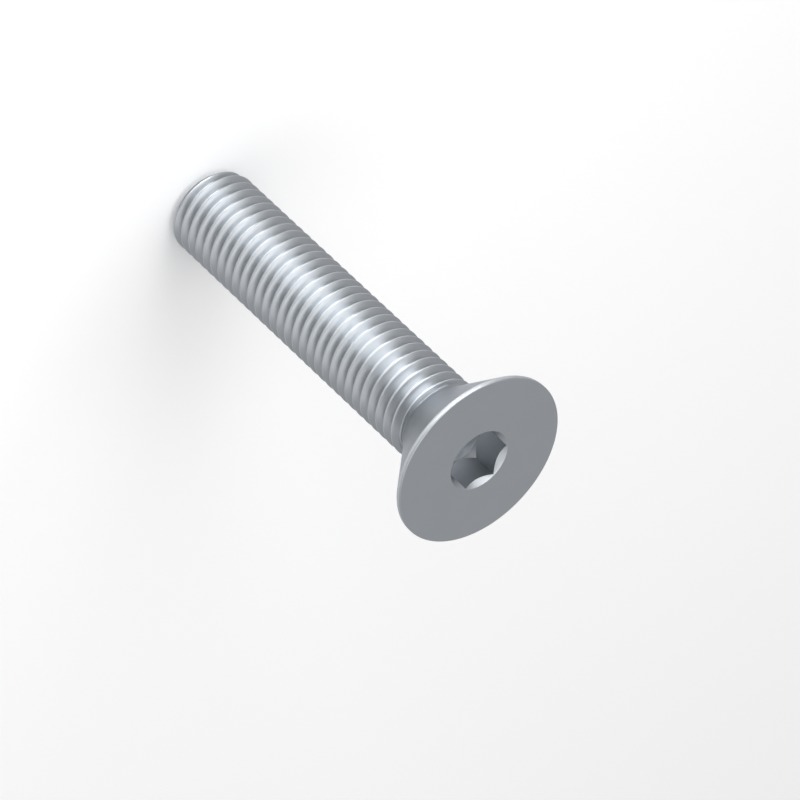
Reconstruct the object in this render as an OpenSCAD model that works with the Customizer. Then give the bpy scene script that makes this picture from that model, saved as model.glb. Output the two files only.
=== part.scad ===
// Flat countersunk bolt with a hexagon socket, threaded up to a short neck under the head.
// It stands on its tip: the origin is the middle of the tip's flat end, and +Z runs up the
// axis and out of the head's flat face.

/* [Head] */
// Length over all, from the tip to the flat face of the head
overall_len = 38.1; // [16:0.1:42]
// Diameter of the head over its straight land
head_d = 15.7; // [13:0.1:18]
// Included angle of the countersunk cone
cone_angle = 82; // [74:1:96]
// Height from the lower edge of the straight land to the face
land_h = 0.38; // [0.25:0.01:0.8]
// Width of the bevel between the face and the land
face_bevel = 0.24; // [0.05:0.01:0.24]
// Radius of the fillet between the cone and the neck
neck_fillet = 0.5; // [0.2:0.05:1.2]

/* [Socket] */
// Width across the flats of the hexagon socket
socket_af = 4.7625; // [3.6:0.0125:5.6]
// Depth of the socket's flat floor below the face
socket_depth = 3.08; // [1.5:0.02:3.6]
// Diameter of the socket's flat floor
floor_d = 4.7; // [3:0.05:5.2]
// Angle between the cut corners above the floor and the axis
floor_corner_angle = 30; // [20:1:60]
// How far the chamfer of the mouth reaches past the corners of the hexagon
mouth_margin = 0.06; // [0.02:0.01:0.4]
// Included angle of the chamfer at the mouth
mouth_angle = 90; // [60:5:140]

/* [Thread] */
// Diameter over the crests of the thread
crest_d = 7.85; // [7.3:0.05:9]
// Pitch of the right-hand thread
pitch = 1.0583; // [0.9:0.0001:1.5]
// Included angle between the flanks of the thread
flank_angle = 60; // [50:1:70]
// Width of the flat along each crest
crest_w = 0.16; // [0.06:0.01:0.3]
// Width of the flat along each root
root_w = 0.2; // [0.06:0.01:0.3]
// Turn of the whole thread about the axis
thread_turn = 276; // [0:1:359]

/* [Neck and tip] */
// Diameter of the plain neck between the thread and the head
neck_d = 7.2; // [6.9:0.05:7.25]
// Length of the plain neck under the fillet
neck_len = 0.1; // [0.06:0.02:3]
// Diameter of the flat end of the tip
tip_d = 6.24; // [4.5:0.02:7.1]
// Angle of the chamfer round the tip, measured from the flat end
tip_angle = 45; // [30:1:60]

/* [Hidden] */
// Straight pieces that make one turn of the thread, and one full circle of the turned surfaces
turn_steps = 36;
circle_steps = 72;
fillet_steps = 5;
// How far a cutter reaches past the body, and how far joined bodies run into each other
cut_margin = 1;
seat = 0.5;

head_r = head_d / 2;
neck_r = neck_d / 2;
crest_r = crest_d / 2;
tip_r = tip_d / 2;
cone_half = cone_angle / 2;
flank_run = (pitch - crest_w - root_w) / 2;
root_r = crest_r - flank_run / tan(flank_angle / 2);
core_r = min(root_r, neck_r) - seat;
cutter_r = crest_r + cut_margin;

// Heights along the axis
land_z = overall_len - land_h;
cone_z = land_z - (head_r - neck_r) / tan(cone_half);
fillet_z = cone_z - neck_fillet * tan(cone_half / 2);
neck_z = fillet_z - neck_len;
crest_end_z = neck_z + neck_len / 2;
rod_end_z = crest_end_z + seat * tan(flank_angle / 2);

// The threaded rod starts below the tip and runs into the head, and both ends are cut off
rod_start_z = -1.5 * pitch;
rod_turns = ceil((rod_end_z - rod_start_z) / pitch);
rod_steps = rod_turns * turn_steps;
// Each step holds these four points: how far along the pitch, and how far from the axis
profile = [
    [0, crest_r],
    [crest_w, crest_r],
    [crest_w + flank_run, root_r],
    [pitch - flank_run, root_r]
];
corners = len(profile);

function thread_point(step, corner) = [
    profile[corner].y * cos(360 * step / turn_steps),
    profile[corner].y * sin(360 * step / turn_steps),
    rod_start_z + pitch * step / turn_steps + profile[corner].x
];
// The point after the last one of a step is the first one of the step a full turn on
function thread_index(step, corner) =
    corner < corners ? step * corners + corner : (step + turn_steps) * corners;
// The edge of the rod's end at a step: one turn of the crest, and back along the profile
function end_rim(first) = [
    for (step = [first:first + turn_steps]) thread_index(step, 0),
    for (corner = [corners - 1:-1:1]) thread_index(first, corner)
];

// One closed body of full thread, made of strips between neighbouring steps
module threaded_rod() {
    points = [
        for (step = [0:rod_steps + turn_steps], corner = [0:corners - 1]) thread_point(step, corner),
        [0, 0, rod_start_z],
        [0, 0, rod_start_z + pitch * (rod_turns + 1)]
    ];
    low_rim = end_rim(0);
    high_rim = end_rim(rod_steps);
    rim_count = len(low_rim);
    faces = [
        for (step = [0:rod_steps - 1], corner = [0:corners - 1]) each [
            [thread_index(step, corner), thread_index(step, corner + 1), thread_index(step + 1, corner + 1)],
            [thread_index(step, corner), thread_index(step + 1, corner + 1), thread_index(step + 1, corner)]
        ],
        for (k = [0:rim_count - 1]) each [
            [len(points) - 2, low_rim[k], low_rim[(k + 1) % rim_count]],
            [len(points) - 1, high_rim[(k + 1) % rim_count], high_rim[k]]
        ]
    ];
    polyhedron(points, faces);
}

// Everything below the flat end and outside the chamfer
module tip_cutter() {
    low_z = rod_start_z - cut_margin;
    rotate_extrude($fn = circle_steps)
        polygon([
            [0, low_z],
            [cutter_r, low_z],
            [cutter_r, (cutter_r - tip_r) * tan(tip_angle)],
            [tip_r, 0],
            [0, 0]
        ]);
}

// Everything above the last crest, which ends in a slope as steep as a flank
module neck_cutter() {
    high_z = rod_start_z + pitch * (rod_turns + 2) + cut_margin;
    rotate_extrude($fn = circle_steps)
        polygon([
            [0, rod_end_z],
            [neck_r - seat, rod_end_z],
            [cutter_r, crest_end_z - (cutter_r - neck_r) * tan(flank_angle / 2)],
            [cutter_r, high_z],
            [0, high_z]
        ]);
}

module shank() {
    difference() {
        rotate([0, 0, thread_turn]) threaded_rod();
        tip_cutter();
        neck_cutter();
    }
}

// Hexagon with its corners cut away above the floor, and the chamfered mouth
module socket() {
    floor_z = overall_len - socket_depth;
    cut_h = socket_depth + cut_margin;
    corner_r = socket_af / 2 / cos(30);
    mouth_r = corner_r + mouth_margin;
    mouth_slope = tan(mouth_angle / 2);
    intersection() {
        translate([0, 0, floor_z]) cylinder(h = cut_h, r = corner_r, $fn = 6);
        translate([0, 0, floor_z])
            cylinder(
                h = cut_h,
                r1 = floor_d / 2,
                r2 = floor_d / 2 + cut_h * tan(floor_corner_angle),
                $fn = circle_steps
            );
    }
    rotate_extrude($fn = circle_steps)
        polygon([
            [0, overall_len - mouth_r / mouth_slope],
            [mouth_r + cut_margin * mouth_slope, overall_len + cut_margin],
            [0, overall_len + cut_margin]
        ]);
}

// Turned body of the head: the face, the land, the cone, the fillet and the neck, which closes
// the thread's groove with a slope and runs on inside the shank
module turned_head() {
    fillet = [
        for (k = [fillet_steps:-1:0])
            let (angle = 180 - cone_half * k / fillet_steps)
                [neck_r + neck_fillet * (1 + cos(angle)), fillet_z + neck_fillet * sin(angle)]
    ];
    rotate_extrude($fn = circle_steps)
        polygon(concat(
            [
                [0, overall_len],
                [head_r - face_bevel, overall_len],
                [head_r, overall_len - face_bevel],
                [head_r, land_z]
            ],
            fillet,
            [
                [neck_r, neck_z],
                [core_r, neck_z - (neck_r - core_r)],
                [0, neck_z - (neck_r - core_r)]
            ]
        ));
}

module head() {
    difference() {
        turned_head();
        socket();
    }
}

module bolt() {
    color("#b9c0c7") {
        shank();
        head();
    }
}

bolt();
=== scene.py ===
"""Dresses a zinc-plated countersunk bolt: rolled thread, turned head, hexagon socket and studio.

Lengths in the classes are millimetres. Every mesh is built in metres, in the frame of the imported
model, in which the bolt stands on its tip at the origin with its head up.
"""

import logging
import math
from dataclasses import dataclass
from enum import Enum

import bmesh
import bpy
from mathutils import Matrix, Vector


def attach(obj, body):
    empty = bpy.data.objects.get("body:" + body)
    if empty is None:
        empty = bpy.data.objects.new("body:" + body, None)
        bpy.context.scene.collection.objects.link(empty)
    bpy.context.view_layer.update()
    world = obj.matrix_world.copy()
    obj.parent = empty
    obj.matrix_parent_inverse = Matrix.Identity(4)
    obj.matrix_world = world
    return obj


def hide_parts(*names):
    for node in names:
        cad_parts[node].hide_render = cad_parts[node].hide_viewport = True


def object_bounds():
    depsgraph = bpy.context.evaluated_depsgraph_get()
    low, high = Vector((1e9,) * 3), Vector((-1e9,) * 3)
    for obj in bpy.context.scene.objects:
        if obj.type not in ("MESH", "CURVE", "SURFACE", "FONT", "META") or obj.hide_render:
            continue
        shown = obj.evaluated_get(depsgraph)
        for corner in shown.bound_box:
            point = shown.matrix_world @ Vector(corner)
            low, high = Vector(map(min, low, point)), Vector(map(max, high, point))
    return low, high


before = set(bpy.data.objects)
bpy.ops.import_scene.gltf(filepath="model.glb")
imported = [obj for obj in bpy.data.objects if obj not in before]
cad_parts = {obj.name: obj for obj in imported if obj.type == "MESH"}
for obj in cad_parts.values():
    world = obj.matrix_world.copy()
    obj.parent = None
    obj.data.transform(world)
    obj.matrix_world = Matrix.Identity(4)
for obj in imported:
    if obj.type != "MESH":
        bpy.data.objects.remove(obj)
CAD_LOW, CAD_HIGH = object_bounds()

MM = 0.001
LOG = logging.getLogger("countersunk_bolt")

# Numbers of the Mix node's colour sockets, since its other sockets have the same names
MIX_FACTOR, MIX_FIRST, MIX_SECOND, MIX_RESULT = 0, 6, 7, 2

Ring = list[Vector]


class End(Enum):
    """How a skin of rings ends at its first or last ring."""

    OPEN = "open"
    FAN = "fan"


def linear(code: str) -> tuple[float, float, float, float]:
    """Turns an sRGB hex code into the linear colour that a node takes.

    Args:
        code: Six hex digits, such as "c8ccd2".

    Returns:
        Red, green, blue and an alpha of one.
    """
    low_end, low_slope, offset, power = 0.04045, 12.92, 0.055, 2.4
    channels = [int(code[k : k + 2], 16) / 255 for k in (0, 2, 4)]
    red, green, blue = (
        c / low_slope if c <= low_end else ((c + offset) / (1 + offset)) ** power for c in channels
    )
    return (red, green, blue, 1.0)


def add_node(
    tree: bpy.types.NodeTree,
    kind: str,
    values: dict[str | int, object] | None = None,
    links: dict[str | int, bpy.types.NodeSocket] | None = None,
    **settings: object,
) -> bpy.types.Node:
    """Adds a node with its settings, its values and the links into it.

    Args:
        tree: The node tree that takes the node.
        kind: The node's type name.
        values: Input name or number, and the value set on it.
        links: Input name or number, and the output linked into it.
        **settings: The node's own properties.

    Returns:
        The new node.
    """
    node = tree.nodes.new(kind)
    for name, setting in settings.items():
        setattr(node, name, setting)
    for key, value in (values or {}).items():
        node.inputs[key].default_value = value
    for key, source in (links or {}).items():
        tree.links.new(source, node.inputs[key])
    return node


def empty_tree(owner: bpy.types.Material | bpy.types.World) -> bpy.types.NodeTree:
    """Turns on a material's or a world's nodes and clears them.

    Args:
        owner: The material or the world.

    Returns:
        Its empty node tree.
    """
    owner.use_nodes = True
    owner.node_tree.nodes.clear()
    return owner.node_tree


def add_object(name: str, data: bpy.types.ID) -> bpy.types.Object:
    """Puts a mesh, a light or a camera into the scene as an object at the origin.

    Args:
        name: The object's name.
        data: What it shows. A mesh has its place in its vertices.

    Returns:
        The new object.
    """
    thing = bpy.data.objects.new(name, data)
    bpy.context.scene.collection.objects.link(thing)
    return thing


def direction(azimuth_deg: float, height_deg: float) -> Vector:
    """Points away from the bolt by two angles.

    Args:
        azimuth_deg: Angle from the X axis, in the floor's plane.
        height_deg: Angle above that plane.

    Returns:
        The direction, one unit long.
    """
    around = math.radians(azimuth_deg)
    up = math.radians(height_deg)
    return Vector(
        (math.cos(around) * math.cos(up), math.sin(around) * math.cos(up), math.sin(up))
    )


@dataclass(frozen=True)
class ZincPlate:
    """Bright zinc plating with a clear bluish passivation on steel.

    The zinc is laid down evenly, so the eye sees a cool, soft-edged gloss with no scratches: broad
    highlights that keep their shape, a faint cloudiness where the passivation dried, and edges
    that do not flare, since the plating's own tone holds at a grazing angle.
    """

    name: str = "bright_zinc_plating"
    colour: str = "b8bcc0"
    cloud_colour: str = "b5b9bd"
    roughness: float = 0.36
    roughness_spread: float = 0.02
    edge_colour: str = "c4c6ca"
    cloud_mm: float = 2.4
    cloud_detail: float = 3.0
    cloud_falloff: float = 0.5
    cloud_low: float = 0.3
    cloud_high: float = 0.7
    grain_mm: float = 0.22
    grain_detail: float = 2.0
    grain_falloff: float = 0.6
    grain_depth_mm: float = 0.0001

    def material(self) -> bpy.types.Material:
        """Builds the node material.

        Returns:
            The material, which reads Object coordinates.
        """
        material = bpy.data.materials.new(self.name)
        tree = empty_tree(material)
        place = add_node(tree, "ShaderNodeTexCoord").outputs["Object"]

        def noise(size_mm: float, detail: float, falloff: float) -> bpy.types.NodeSocket:
            """Adds a noise.

            Args:
                size_mm: About the size of its largest spots.
                detail: How many times it is laid over itself at half the size.
                falloff: Share of its strength that each of these layers keeps.

            Returns:
                The output from 0 to 1.
            """
            values = {"Scale": 1 / (size_mm * MM), "Detail": detail, "Roughness": falloff}
            spots = add_node(tree, "ShaderNodeTexNoise", values, {"Vector": place})
            return spots.outputs["Fac"]

        clouds = noise(self.cloud_mm, self.cloud_detail, self.cloud_falloff)
        tint = add_node(
            tree,
            "ShaderNodeMix",
            {MIX_FIRST: linear(self.cloud_colour), MIX_SECOND: linear(self.colour)},
            {MIX_FACTOR: clouds},
            data_type="RGBA",
        ).outputs[MIX_RESULT]
        gloss = add_node(
            tree,
            "ShaderNodeMapRange",
            {
                "From Min": self.cloud_low,
                "From Max": self.cloud_high,
                "To Min": self.roughness - self.roughness_spread / 2,
                "To Max": self.roughness + self.roughness_spread / 2,
            },
            {"Value": clouds},
        ).outputs["Result"]
        grain = noise(self.grain_mm, self.grain_detail, self.grain_falloff)
        bump = add_node(
            tree,
            "ShaderNodeBump",
            {"Strength": 1.0, "Distance": self.grain_depth_mm * MM},
            {"Height": grain},
        ).outputs["Normal"]
        shader = add_node(
            tree,
            "ShaderNodeBsdfPrincipled",
            {"Metallic": 1.0, "Specular Tint": linear(self.edge_colour)},
            {"Base Color": tint, "Roughness": gloss, "Normal": bump},
        )
        add_node(tree, "ShaderNodeOutputMaterial", links={"Surface": shader.outputs["BSDF"]})
        return material


@dataclass(frozen=True)
class Lathe:
    """Rings of points about the bolt's axis, and the skin between them."""

    columns: int = 96

    def angles(self) -> list[float]:
        """Angles of the columns, from the X axis."""
        return [math.tau * k / self.columns for k in range(self.columns)]

    def ring(self, radius: float, height: float) -> Ring:
        """Makes a round ring.

        Args:
            radius: Radius in millimetres.
            height: Height in millimetres.

        Returns:
            One point for each column, in metres.
        """
        return [
            Vector((radius * math.cos(a), radius * math.sin(a), height)) * MM
            for a in self.angles()
        ]

    def skin(
        self,
        mesh: bmesh.types.BMesh,
        rings: list[Ring],
        first: End = End.OPEN,
        last: End = End.OPEN,
    ) -> None:
        """Joins neighbouring rings with faces that look away from the metal.

        Args:
            mesh: The mesh that takes the faces.
            rings: The rings, in the order in which the outline is walked up the outside.
            first: Whether a fan about the axis closes the first ring.
            last: Whether a fan about the axis closes the last ring.
        """
        loops = [[mesh.verts.new(point) for point in ring] for ring in rings]
        sides = [(k, (k + 1) % self.columns) for k in range(self.columns)]
        for low, high in zip(loops, loops[1:]):
            for k, after in sides:
                mesh.faces.new((low[k], low[after], high[after], high[k]))
        if first is End.FAN:
            centre = mesh.verts.new(Vector((0, 0, loops[0][0].co.z)))
            for k, after in sides:
                mesh.faces.new((loops[0][after], loops[0][k], centre))
        if last is End.FAN:
            centre = mesh.verts.new(Vector((0, 0, loops[-1][0].co.z)))
            for k, after in sides:
                mesh.faces.new((loops[-1][k], loops[-1][after], centre))


def arc(
    centre: tuple[float, float], radius: float, start_deg: float, end_deg: float, steps: int
) -> list[tuple[float, float]]:
    """Points of an arc in a half section of the bolt.

    Args:
        centre: Radius and height of the arc's centre.
        radius: The arc's own radius.
        start_deg: First angle, measured from the outward direction towards the head.
        end_deg: Last angle.
        steps: Number of straight pieces.

    Returns:
        Radius and height of each point, with both ends.
    """
    turn = [
        math.radians(start_deg + (end_deg - start_deg) * k / steps) for k in range(steps + 1)
    ]
    return [(centre[0] + radius * math.cos(a), centre[1] + radius * math.sin(a)) for a in turn]


@dataclass(frozen=True)
class Shank:
    """The rolled thread, from the chamfered tip to the neck.

    The turn and the start say where the crests lie about the axis. The blend softens the edges at
    which the tip's chamfer and the slope of the last crest cut the thread. The merge reach joins
    the rows of points that the two ends press onto each other.
    """

    lathe: Lathe
    neck_foot: float
    crest_d: float = 7.85
    pitch: float = 1.0583
    flank_deg: float = 68.0
    crest_w: float = 0.11
    root_w: float = 0.13
    crest_round: float = 0.06
    root_round: float = 0.1
    turn_deg: float = 276.0
    start_turns: float = 1.5
    neck_d: float = 7.05
    end_deg: float = 20.0
    tip_d: float = 6.24
    tip_deg: float = 45.0
    tip_round: float = 0.08
    tip_support: float = 0.1
    edge_blend: float = 0.05
    merge_reach: float = 0.002
    round_steps: int = 3
    flank_steps: int = 4
    tip_steps: int = 3

    @property
    def step(self) -> float:
        """Climb of the thread from one column to the next."""
        return self.pitch / self.lathe.columns

    @property
    def flank_run(self) -> float:
        """Length of a flank along the axis."""
        return (self.pitch - self.crest_w - self.root_w) / 2

    @property
    def end_height(self) -> float:
        """Height of the ring at which the neck takes over, a whole number of steps up."""
        return math.floor(self.neck_foot / self.step) * self.step

    @property
    def start_height(self) -> float:
        """Height of the ring above the rounded edge of the tip, a whole number of steps up."""
        rise = self.tip_round * math.sin(math.radians(self.tip_deg))
        return math.ceil(rise / self.step) * self.step

    def profile(self) -> list[tuple[float, float]]:
        """Outline of one pitch, from the middle of a crest to the middle of the next.

        Each point is moved along to the nearest step, so that the clipped ends keep whole faces.

        Returns:
            Distance along the axis and radius of each point.
        """
        crest_r = self.crest_d / 2
        slope = 1 / math.tan(math.radians(self.flank_deg / 2))
        root_r = crest_r - self.flank_run * slope
        bend = math.radians(90 - self.flank_deg / 2)
        crest_x = self.crest_w / 2
        crest_start = crest_x - self.crest_round * math.tan(bend / 2)
        crest_end = crest_start + self.crest_round * math.sin(bend)
        root_end = crest_x + self.flank_run + self.root_round * math.tan(bend / 2)
        root_start = root_end - self.root_round * math.sin(bend)

        def rounded(x: float) -> float:
            """Radius of the thread between the middle of a crest and the middle of the root.

            Args:
                x: Distance along the axis from the middle of the crest.

            Returns:
                The radius in millimetres.
            """
            if crest_start < x < crest_end:
                fall = self.crest_round**2 - (x - crest_start) ** 2
                return crest_r - self.crest_round + math.sqrt(fall)
            if root_start < x < root_end:
                rise = self.root_round**2 - (root_end - x) ** 2
                return root_r + self.root_round - math.sqrt(rise)
            return min(crest_r, max(root_r, crest_r - (x - crest_x) * slope))

        turns = [bend * k / self.round_steps for k in range(self.round_steps + 1)]
        run = (root_start - crest_end) / self.flank_steps
        along = [0.0]
        along += [crest_start + self.crest_round * math.sin(a) for a in turns]
        along += [crest_end + run * k for k in range(1, self.flank_steps)]
        along += [root_end - self.root_round * math.sin(a) for a in reversed(turns)]
        half = sorted({round(x / self.step) for x in along} | {self.lathe.columns // 2})
        whole = half + [self.lathe.columns - x for x in reversed(half[:-1])]
        return [
            (x * self.step, rounded(min(x, self.lathe.columns - x) * self.step)) for x in whole
        ]

    def tree(self) -> bpy.types.NodeTree:
        """Builds the node tree that winds the profile up the shank.

        Returns:
            The tree. Its inputs are lengths in metres, counts and slopes.
        """
        tree = bpy.data.node_groups.new("wind_thread", "GeometryNodeTree")
        ports = tree.interface
        ports.new_socket("Profile", in_out="INPUT", socket_type="NodeSocketGeometry")
        for name in ("Columns", "Rows per turn", "Turns"):
            ports.new_socket(name, in_out="INPUT", socket_type="NodeSocketInt")
        for name in (
            "Pitch",
            "First height",
            "Start height",
            "End height",
            "Tip radius",
            "Tip slope",
            "Neck radius",
            "Last crest",
            "End slope",
            "Edge blend",
            "Merge reach",
        ):
            ports.new_socket(name, in_out="INPUT", socket_type="NodeSocketFloat")
        ports.new_socket("Finish", in_out="INPUT", socket_type="NodeSocketMaterial")
        ports.new_socket("Thread", in_out="OUTPUT", socket_type="NodeSocketGeometry")
        given = add_node(tree, "NodeGroupInput").outputs

        def maths(operation: str, *terms: object) -> bpy.types.NodeSocket:
            """Adds one calculation.

            Args:
                operation: The calculation's name.
                *terms: Its numbers or the outputs linked into it.

            Returns:
                The result's output.
            """
            sockets = {k: t for k, t in enumerate(terms) if isinstance(t, bpy.types.NodeSocket)}
            numbers = {k: t for k, t in enumerate(terms) if k not in sockets}
            return add_node(
                tree, "ShaderNodeMath", numbers, sockets, operation=operation
            ).outputs[0]

        rows = maths("MULTIPLY", given["Turns"], given["Rows per turn"])
        grid = add_node(
            tree,
            "GeometryNodeMeshGrid",
            {"Size X": 1.0, "Size Y": 1.0},
            {
                "Vertices X": maths("ADD", given["Columns"], 1),
                "Vertices Y": maths("ADD", rows, 1),
            },
        ).outputs["Mesh"]
        # The grid is one unit wide and long about its middle, so half a unit more counts from 0 to 1
        half = 0.5
        place = add_node(tree, "GeometryNodeInputPosition").outputs["Position"]
        split = add_node(tree, "ShaderNodeSeparateXYZ", links={"Vector": place}).outputs
        share = maths("ADD", split["X"], half)
        row = maths("ROUND", maths("MULTIPLY", maths("ADD", split["Y"], half), rows))
        spot = maths("FLOORED_MODULO", row, given["Rows per turn"])
        # Half a row more keeps the first row of a turn from being counted with the turn before
        turn = maths("FLOOR", maths("DIVIDE", maths("ADD", row, half), given["Rows per turn"]))
        outline = add_node(
            tree,
            "GeometryNodeSampleIndex",
            links={"Geometry": given["Profile"], "Value": place, "Index": spot},
            data_type="FLOAT_VECTOR",
            domain="POINT",
        ).outputs["Value"]
        point = add_node(tree, "ShaderNodeSeparateXYZ", links={"Vector": outline}).outputs
        climb = maths("MULTIPLY", given["Pitch"], maths("ADD", turn, share))
        free = maths("ADD", maths("ADD", given["First height"], climb), point["X"])
        height = maths(
            "MINIMUM", maths("MAXIMUM", free, given["Start height"]), given["End height"]
        )
        chamfer = maths(
            "ADD", given["Tip radius"], maths("MULTIPLY", height, given["Tip slope"])
        )
        step_down = maths(
            "ADD",
            given["Neck radius"],
            maths("MULTIPLY", maths("SUBTRACT", given["Last crest"], height), given["End slope"]),
        )
        neck = maths(
            "SUBTRACT",
            given["Neck radius"],
            maths("MAXIMUM", maths("SUBTRACT", given["Last crest"], height), 0.0),
        )
        chamfered = maths("SMOOTH_MIN", point["Y"], chamfer, given["Edge blend"])
        cut = maths("SMOOTH_MIN", chamfered, step_down, given["Edge blend"])
        radius = maths("MAXIMUM", cut, neck)
        angle = maths("MULTIPLY", share, math.tau)
        wound = add_node(
            tree,
            "ShaderNodeCombineXYZ",
            links={
                "X": maths("MULTIPLY", radius, maths("COSINE", angle)),
                "Y": maths("MULTIPLY", radius, maths("SINE", angle)),
                "Z": height,
            },
        ).outputs["Vector"]
        moved = add_node(
            tree, "GeometryNodeSetPosition", links={"Geometry": grid, "Position": wound}
        ).outputs["Geometry"]
        merged = add_node(
            tree,
            "GeometryNodeMergeByDistance",
            links={"Geometry": moved, "Distance": given["Merge reach"]},
        ).outputs["Geometry"]
        smooth = add_node(
            tree, "GeometryNodeSetShadeSmooth", links={"Geometry": merged}
        ).outputs["Geometry"]
        real = add_node(
            tree, "GeometryNodeRealizeInstances", links={"Geometry": smooth}
        ).outputs["Geometry"]
        dressed = add_node(
            tree,
            "GeometryNodeSetMaterial",
            links={"Geometry": real, "Material": given["Finish"]},
        ).outputs["Geometry"]
        add_node(tree, "NodeGroupOutput", links={"Thread": dressed})
        return tree

    def thread(self, finish: bpy.types.Material) -> bpy.types.Mesh:
        """Winds the thread and returns it as a plain mesh.

        Args:
            finish: The material that the tree sets.

        Returns:
            The mesh, open at the ring under its tip and at the ring under the neck.
        """
        profile = self.profile()
        outline = bpy.data.meshes.new("thread_profile")
        outline.from_pydata([(x * MM, r * MM, 0) for x, r in profile], [], [])
        holder = add_object("thread_profile", outline)
        first = -self.start_turns * self.pitch + self.crest_w / 2
        first -= self.pitch * self.turn_deg / 360
        first = round(first / self.step) * self.step
        inputs = {
            "Columns": self.lathe.columns,
            "Rows per turn": len(profile),
            "Turns": math.ceil((self.end_height - first) / self.pitch),
            "Pitch": self.pitch * MM,
            "First height": first * MM,
            "Start height": self.start_height * MM,
            "End height": self.end_height * MM,
            "Tip radius": self.tip_d / 2 * MM,
            "Tip slope": 1 / math.tan(math.radians(self.tip_deg)),
            "Neck radius": self.neck_d / 2 * MM,
            "Last crest": (self.end_height - self.step) * MM,
            "End slope": 1 / math.tan(math.radians(self.end_deg)),
            "Edge blend": self.edge_blend * MM,
            "Merge reach": self.merge_reach * MM,
            "Finish": finish,
        }
        winder = holder.modifiers.new("wind_thread", "NODES")
        winder.node_group = self.tree()
        for item in winder.node_group.interface.items_tree:
            if item.in_out == "INPUT" and item.name in inputs:
                winder[item.identifier] = inputs[item.name]
        seen = holder.evaluated_get(bpy.context.evaluated_depsgraph_get())
        mesh = bpy.data.meshes.new_from_object(seen)
        bpy.data.objects.remove(holder)
        return mesh

    def tip(self, mesh: bmesh.types.BMesh) -> None:
        """Closes the tip with its flat end and its rounded edge.

        Args:
            mesh: The mesh that takes the faces.
        """
        bend = self.tip_deg
        tip_r = self.tip_d / 2
        flat_r = tip_r - self.tip_round * math.tan(math.radians(bend / 2))
        edge = arc((flat_r, self.tip_round), self.tip_round, -90, -90 + bend, self.tip_steps)
        above = (tip_r + self.start_height / math.tan(math.radians(bend)), self.start_height)
        outline = [(flat_r - self.tip_support, 0.0), *edge, above]
        rings = [self.lathe.ring(radius, height) for radius, height in outline]
        self.lathe.skin(mesh, rings, first=End.FAN)


@dataclass(frozen=True)
class Head:
    """The countersunk head, from the neck to the rim of the face."""

    lathe: Lathe
    overall_len: float
    head_d: float
    cone_deg: float = 82.0
    land_h: float = 0.38
    edge_round: float = 0.12
    cone_round: float = 0.1
    neck_d: float = 7.05
    neck_fillet: float = 0.06
    band_d: float = 8.54
    band_deg: float = 71.0
    band_fillet: float = 0.6
    round_steps: int = 4
    rim_steps: int = 8

    @property
    def band_top(self) -> float:
        """Height at which the cone meets the steeper band above the neck."""
        run = (self.head_d - self.band_d) / 2
        return self.overall_len - self.land_h - run / math.tan(math.radians(self.cone_deg / 2))

    @property
    def band_foot(self) -> float:
        """Height at which the band would meet the neck without its fillet."""
        run = (self.band_d - self.neck_d) / 2
        return self.band_top - run / math.tan(math.radians(self.band_deg / 2))

    @property
    def neck_foot(self) -> float:
        """Height at which the fillet leaves the neck."""
        return self.band_foot - self.neck_fillet * math.tan(math.radians(self.band_deg / 4))

    def hollow(
        self, corner: tuple[float, float], low_deg: float, high_deg: float, radius: float
    ) -> list[tuple[float, float]]:
        """Rounds a hollow corner of the outline.

        Args:
            corner: Radius and height of the corner.
            low_deg: How far the surface below the corner leans out from the axis.
            high_deg: How far the surface above it leans out.
            radius: Radius of the rounding.

        Returns:
            Radius and height of each point of the rounding, from below.
        """
        reach = radius * math.tan(math.radians(high_deg - low_deg) / 2)
        lean = math.radians(low_deg)
        foot = (corner[0] - reach * math.sin(lean), corner[1] - reach * math.cos(lean))
        centre = (foot[0] + radius * math.cos(lean), foot[1] - radius * math.sin(lean))
        return arc(centre, radius, 180 - low_deg, 180 - high_deg, self.round_steps)

    def outline(self, start_height: float) -> list[tuple[float, float]]:
        """Walks the half section from the neck up the cone and over the rim.

        Args:
            start_height: Height at which the thread's mesh ends on the neck.

        Returns:
            Radius and height of each point.
        """
        half = self.cone_deg / 2
        neck_r = self.neck_d / 2
        head_r = self.head_d / 2
        band = self.band_deg / 2
        fillet = self.hollow((neck_r, self.band_foot), 0, band, self.neck_fillet)
        bend = self.hollow((self.band_d / 2, self.band_top), band, half, self.band_fillet)
        land_z = self.overall_len - self.land_h
        back = self.cone_round * math.tan(math.radians(half / 2))
        shoulder_centre = (head_r - self.cone_round, land_z + back)
        shoulder = arc(shoulder_centre, self.cone_round, -half, 0, self.round_steps)
        rim_centre = (head_r - self.edge_round, self.overall_len - self.edge_round)
        rim = arc(rim_centre, self.edge_round, 0, 90, self.rim_steps)
        return [(neck_r, start_height), *fillet, *bend, *shoulder, *rim]


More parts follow.
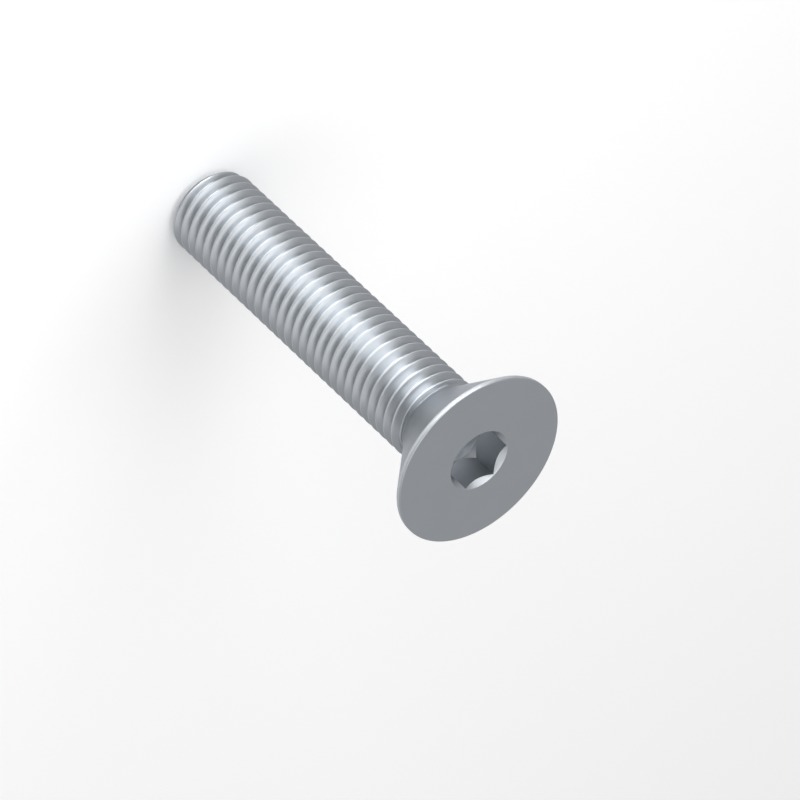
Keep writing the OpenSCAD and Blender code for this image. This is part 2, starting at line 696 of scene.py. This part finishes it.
@dataclass(frozen=True)
class HexSocket:
    """The hexagon socket, from the chamfer of its mouth down to its floor."""

    lathe: Lathe
    overall_len: float
    across_flats: float = 4.7625
    depth: float = 3.08
    floor_d: float = 4.7
    corner_deg: float = 30.0
    mouth_margin: float = 0.06
    mouth_deg: float = 90.0
    lip_round: float = 0.04
    lip_steps: int = 2
    floor_support: float = 0.5

    def wall_radius(self, angle: float) -> float:
        """Distance from the axis to the hexagon, whose corners lie on the X axis.

        Args:
            angle: Angle from the X axis.

        Returns:
            The distance in millimetres.
        """
        side = math.tau / 6
        off = angle % side - side / 2
        return self.across_flats / 2 / math.cos(off)

    @property
    def mouth_r(self) -> float:
        """Radius of the chamfer where it meets the face."""
        return self.across_flats / math.sqrt(3) + self.mouth_margin

    def rings(self) -> list[Ring]:
        """Walks from the face over the lip, down the chamfer and the walls to the floor.

        Returns:
            The rings, the last of them on the floor.
        """
        angles = self.lathe.angles()
        walls = [self.wall_radius(a) for a in angles]
        slope = math.tan(math.radians(self.mouth_deg / 2))
        corner = math.tan(math.radians(self.corner_deg))
        floor_z = self.overall_len - self.depth
        floor_r = self.floor_d / 2
        bend = 90 - self.mouth_deg / 2
        back = self.lip_round * math.tan(math.radians(bend / 2))
        lip_centre = (self.mouth_r + back, self.overall_len - self.lip_round)
        lip = arc(lip_centre, self.lip_round, 90, 90 + bend, self.lip_steps)

        def around(heights: list[float]) -> Ring:
            """One ring on the walls, with a height for each column."""
            return [
                Vector((w * math.cos(a), w * math.sin(a), z)) * MM
                for a, w, z in zip(angles, walls, heights)
            ]

        made = [self.lathe.ring(radius, height) for radius, height in lip]
        made.append(around([self.overall_len - (self.mouth_r - w) / slope for w in walls]))
        made.append(around([floor_z + (w - floor_r) / corner for w in walls]))
        made.append(self.lathe.ring(floor_r, floor_z))
        made.append(self.lathe.ring(floor_r * self.floor_support, floor_z))
        return made


@dataclass(frozen=True)
class Bolt:
    """The whole bolt as one closed skin."""

    finish: ZincPlate
    lathe: Lathe
    overall_len: float
    head_d: float
    body: str = "root"
    node: str = "bolt"
    slot: str = "zinc_plated_steel"
    sharp_deg: float = 24.0
    support: float = 0.06
    join_reach: float = 0.001
    sliver: float = 0.0001

    def turned(self, head: Head, shank: Shank, socket: HexSocket) -> bpy.types.Mesh:
        """Builds the head, the socket and the tip's end.

        Args:
            head: The head's sizes.
            shank: The shank's sizes.
            socket: The socket's sizes.

        Returns:
            The mesh, open where the thread joins it.
        """
        skin = bmesh.new()
        outside = head.outline(shank.end_height)
        inside = socket.rings()
        rim_r, top = outside[-1]
        lip_r = inside[0][0].x / MM
        rings = [self.lathe.ring(radius, height) for radius, height in outside]
        rings += [self.lathe.ring(r, top) for r in (rim_r - self.support, lip_r + self.support)]
        self.lathe.skin(skin, rings + inside, last=End.FAN)
        shank.tip(skin)
        bmesh.ops.remove_doubles(skin, verts=skin.verts, dist=self.join_reach * MM)
        for face in skin.faces:
            face.smooth = True
        mesh = bpy.data.meshes.new("turned")
        skin.to_mesh(mesh)
        skin.free()
        mesh.set_sharp_from_angle(angle=math.radians(self.sharp_deg))
        return mesh

    def build(self) -> bpy.types.Object:
        """Builds the bolt and sets it in the place of the plain one.

        Returns:
            The bolt's object.
        """
        head = Head(self.lathe, self.overall_len, self.head_d)
        shank = Shank(self.lathe, head.neck_foot)
        socket = HexSocket(self.lathe, self.overall_len)
        finish = self.finish.material()
        joined = bmesh.new()
        joined.from_mesh(shank.thread(finish))
        joined.from_mesh(self.turned(head, shank, socket))
        bmesh.ops.remove_doubles(joined, verts=joined.verts, dist=self.join_reach * MM)
        bmesh.ops.dissolve_degenerate(joined, edges=joined.edges, dist=self.sliver * MM)
        # Any face that is left with more than four corners is split
        bmesh.ops.triangulate(joined, faces=[f for f in joined.faces if len(f.verts) > 4])
        open_edges = sum(1 for edge in joined.edges if not edge.is_manifold)
        mesh = bpy.data.meshes.new("countersunk_bolt")
        joined.to_mesh(mesh)
        joined.free()
        mesh.materials.append(finish)
        piece = add_object("countersunk_bolt", mesh)
        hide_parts(self.node)
        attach(piece, self.body)
        LOG.info("bolt: %d faces, %d open edges", len(mesh.polygons), open_edges)
        return piece


@dataclass(frozen=True)
class Lamp:
    """A soft rectangular lamp, placed by two angles about a point and aimed at it.

    At a level of 1 its face is as bright as a fully lit white sheet.
    """

    name: str
    azimuth_deg: float
    height_deg: float
    distance_mm: float
    width_mm: float
    length_mm: float
    level: float
    colour: str = "ffffff"

    def build(self, target: Vector) -> bpy.types.Object:
        """Adds the lamp.

        Args:
            target: The point it is aimed at, in metres.

        Returns:
            The lamp's object.
        """
        light = bpy.data.lights.new(self.name, "AREA")
        light.shape = "RECTANGLE"
        light.size = self.width_mm * MM
        light.size_y = self.length_mm * MM
        light.energy = math.pi * light.size * light.size_y * self.level
        light.color = linear(self.colour)[:3]
        way = direction(self.azimuth_deg, self.height_deg)
        lamp = add_object(self.name, light)
        lamp.location = target + way * self.distance_mm * MM
        lamp.rotation_euler = way.to_track_quat("Z", "Y").to_euler()
        return lamp


@dataclass(frozen=True)
class FloorPaper:
    """Matt white paper, which gives the eye an even pale ground with no mirror image."""

    name: str = "floor_paper"
    colour: str = "f9f9f9"
    roughness: float = 0.9

    def material(self) -> bpy.types.Material:
        """Builds the node material.

        Returns:
            The material.
        """
        material = bpy.data.materials.new(self.name)
        tree = empty_tree(material)
        shader = add_node(
            tree,
            "ShaderNodeBsdfPrincipled",
            {
                "Base Color": linear(self.colour),
                "Roughness": self.roughness,
                "Specular IOR Level": 0.0,
            },
        )
        add_node(tree, "ShaderNodeOutputMaterial", links={"Surface": shader.outputs["BSDF"]})
        return material


@dataclass(frozen=True)
class Studio:
    """The pale floor, the soft light and the camera."""

    paper: FloorPaper
    aim_height_mm: float = 28.25
    camera_azimuth_deg: float = -60.0
    camera_height_deg: float = 36.65
    camera_roll_deg: float = 133.18
    camera_side_mm: float = -0.803
    camera_distance_mm: float = 541.2
    lens_mm: float = 302.7
    sensor_mm: float = 36.0
    nearest_mm: float = 10.0
    farthest_mm: float = 10000.0
    floor_size_mm: float = 4000.0
    room_colour: str = "f9f9fa"
    room_level: float = 0.56
    # Name, azimuth, height angle, distance, width, length and level of each lamp
    lamps: tuple[Lamp, ...] = (
        Lamp("low_left", -101, 1, 110, 60, 50, 5.4),
        Lamp("low_middle", -84, 0, 115, 100, 45, 2.2),
        Lamp("low_front", -66, -3, 120, 50, 40, 3.8),
        Lamp("overhead_left", -118, 54, 400, 320, 380, 1.1),
        Lamp("overhead", -60, 86, 400, 320, 280, 1.55),
        Lamp("camera_side", -60, 38, 600, 160, 160, 1.3),
        Lamp("right_fill", 15, 50, 400, 300, 260, 0.6),
    )

    def camera(self) -> bpy.types.Object:
        """Adds the camera, rolled so that the head points down and to the right.

        Returns:
            The camera's object.
        """
        back = direction(self.camera_azimuth_deg, self.camera_height_deg)
        side = direction(self.camera_azimuth_deg - 90, 0)
        aim = Vector((0, 0, self.aim_height_mm)) + side * self.camera_side_mm
        data = bpy.data.cameras.new("camera")
        data.lens = self.lens_mm
        data.sensor_width = self.sensor_mm
        data.clip_start = self.nearest_mm * MM
        data.clip_end = self.farthest_mm * MM
        camera = add_object("camera", data)
        turned = back.to_track_quat("Z", "Y").to_matrix().to_4x4()
        roll = Matrix.Rotation(math.radians(self.camera_roll_deg), 4, "Z")
        place = Matrix.Translation((aim + back * self.camera_distance_mm) * MM)
        camera.matrix_world = place @ turned @ roll
        bpy.context.scene.camera = camera
        return camera

    def floor(self) -> bpy.types.Object:
        """Adds the plain pale floor under the tip.

        Returns:
            The floor's object.
        """
        half = self.floor_size_mm / 2 * MM
        mesh = bpy.data.meshes.new("floor")
        corners = [(-half, -half, 0), (half, -half, 0), (half, half, 0), (-half, half, 0)]
        mesh.from_pydata(corners, [], [(0, 1, 2, 3)])
        floor = add_object("floor", mesh)
        mesh.materials.append(self.paper.material())
        return floor

    def world(self) -> None:
        """Fills the room with an even pale light."""
        world = bpy.data.worlds.new("room")
        bpy.context.scene.world = world
        tree = empty_tree(world)
        light = add_node(
            tree,
            "ShaderNodeBackground",
            {"Color": linear(self.room_colour), "Strength": self.room_level},
        )
        add_node(tree, "ShaderNodeOutputWorld", links={"Surface": light.outputs["Background"]})

    def build(self) -> None:
        """Sets up the floor, the room, the lamps and the camera."""
        self.floor()
        self.world()
        target = Vector((0, 0, self.aim_height_mm * MM))
        for lamp in self.lamps:
            lamp.build(target)
        self.camera()
        bpy.context.scene.view_settings.view_transform = "Standard"


def main() -> None:
    """Builds the bolt and the studio."""
    logging.basicConfig(level=logging.INFO, format="%(name)s: %(message)s")
    lathe = Lathe()
    overall_len = (CAD_HIGH.z - CAD_LOW.z) / MM
    head_d = (CAD_HIGH.x - CAD_LOW.x) / MM
    bolt = Bolt(ZincPlate(), lathe, overall_len, head_d).build()
    LOG.info("%s stands for the node bolt", bolt.name)
    Studio(FloorPaper()).build()


if __name__ == "__main__":
    main()
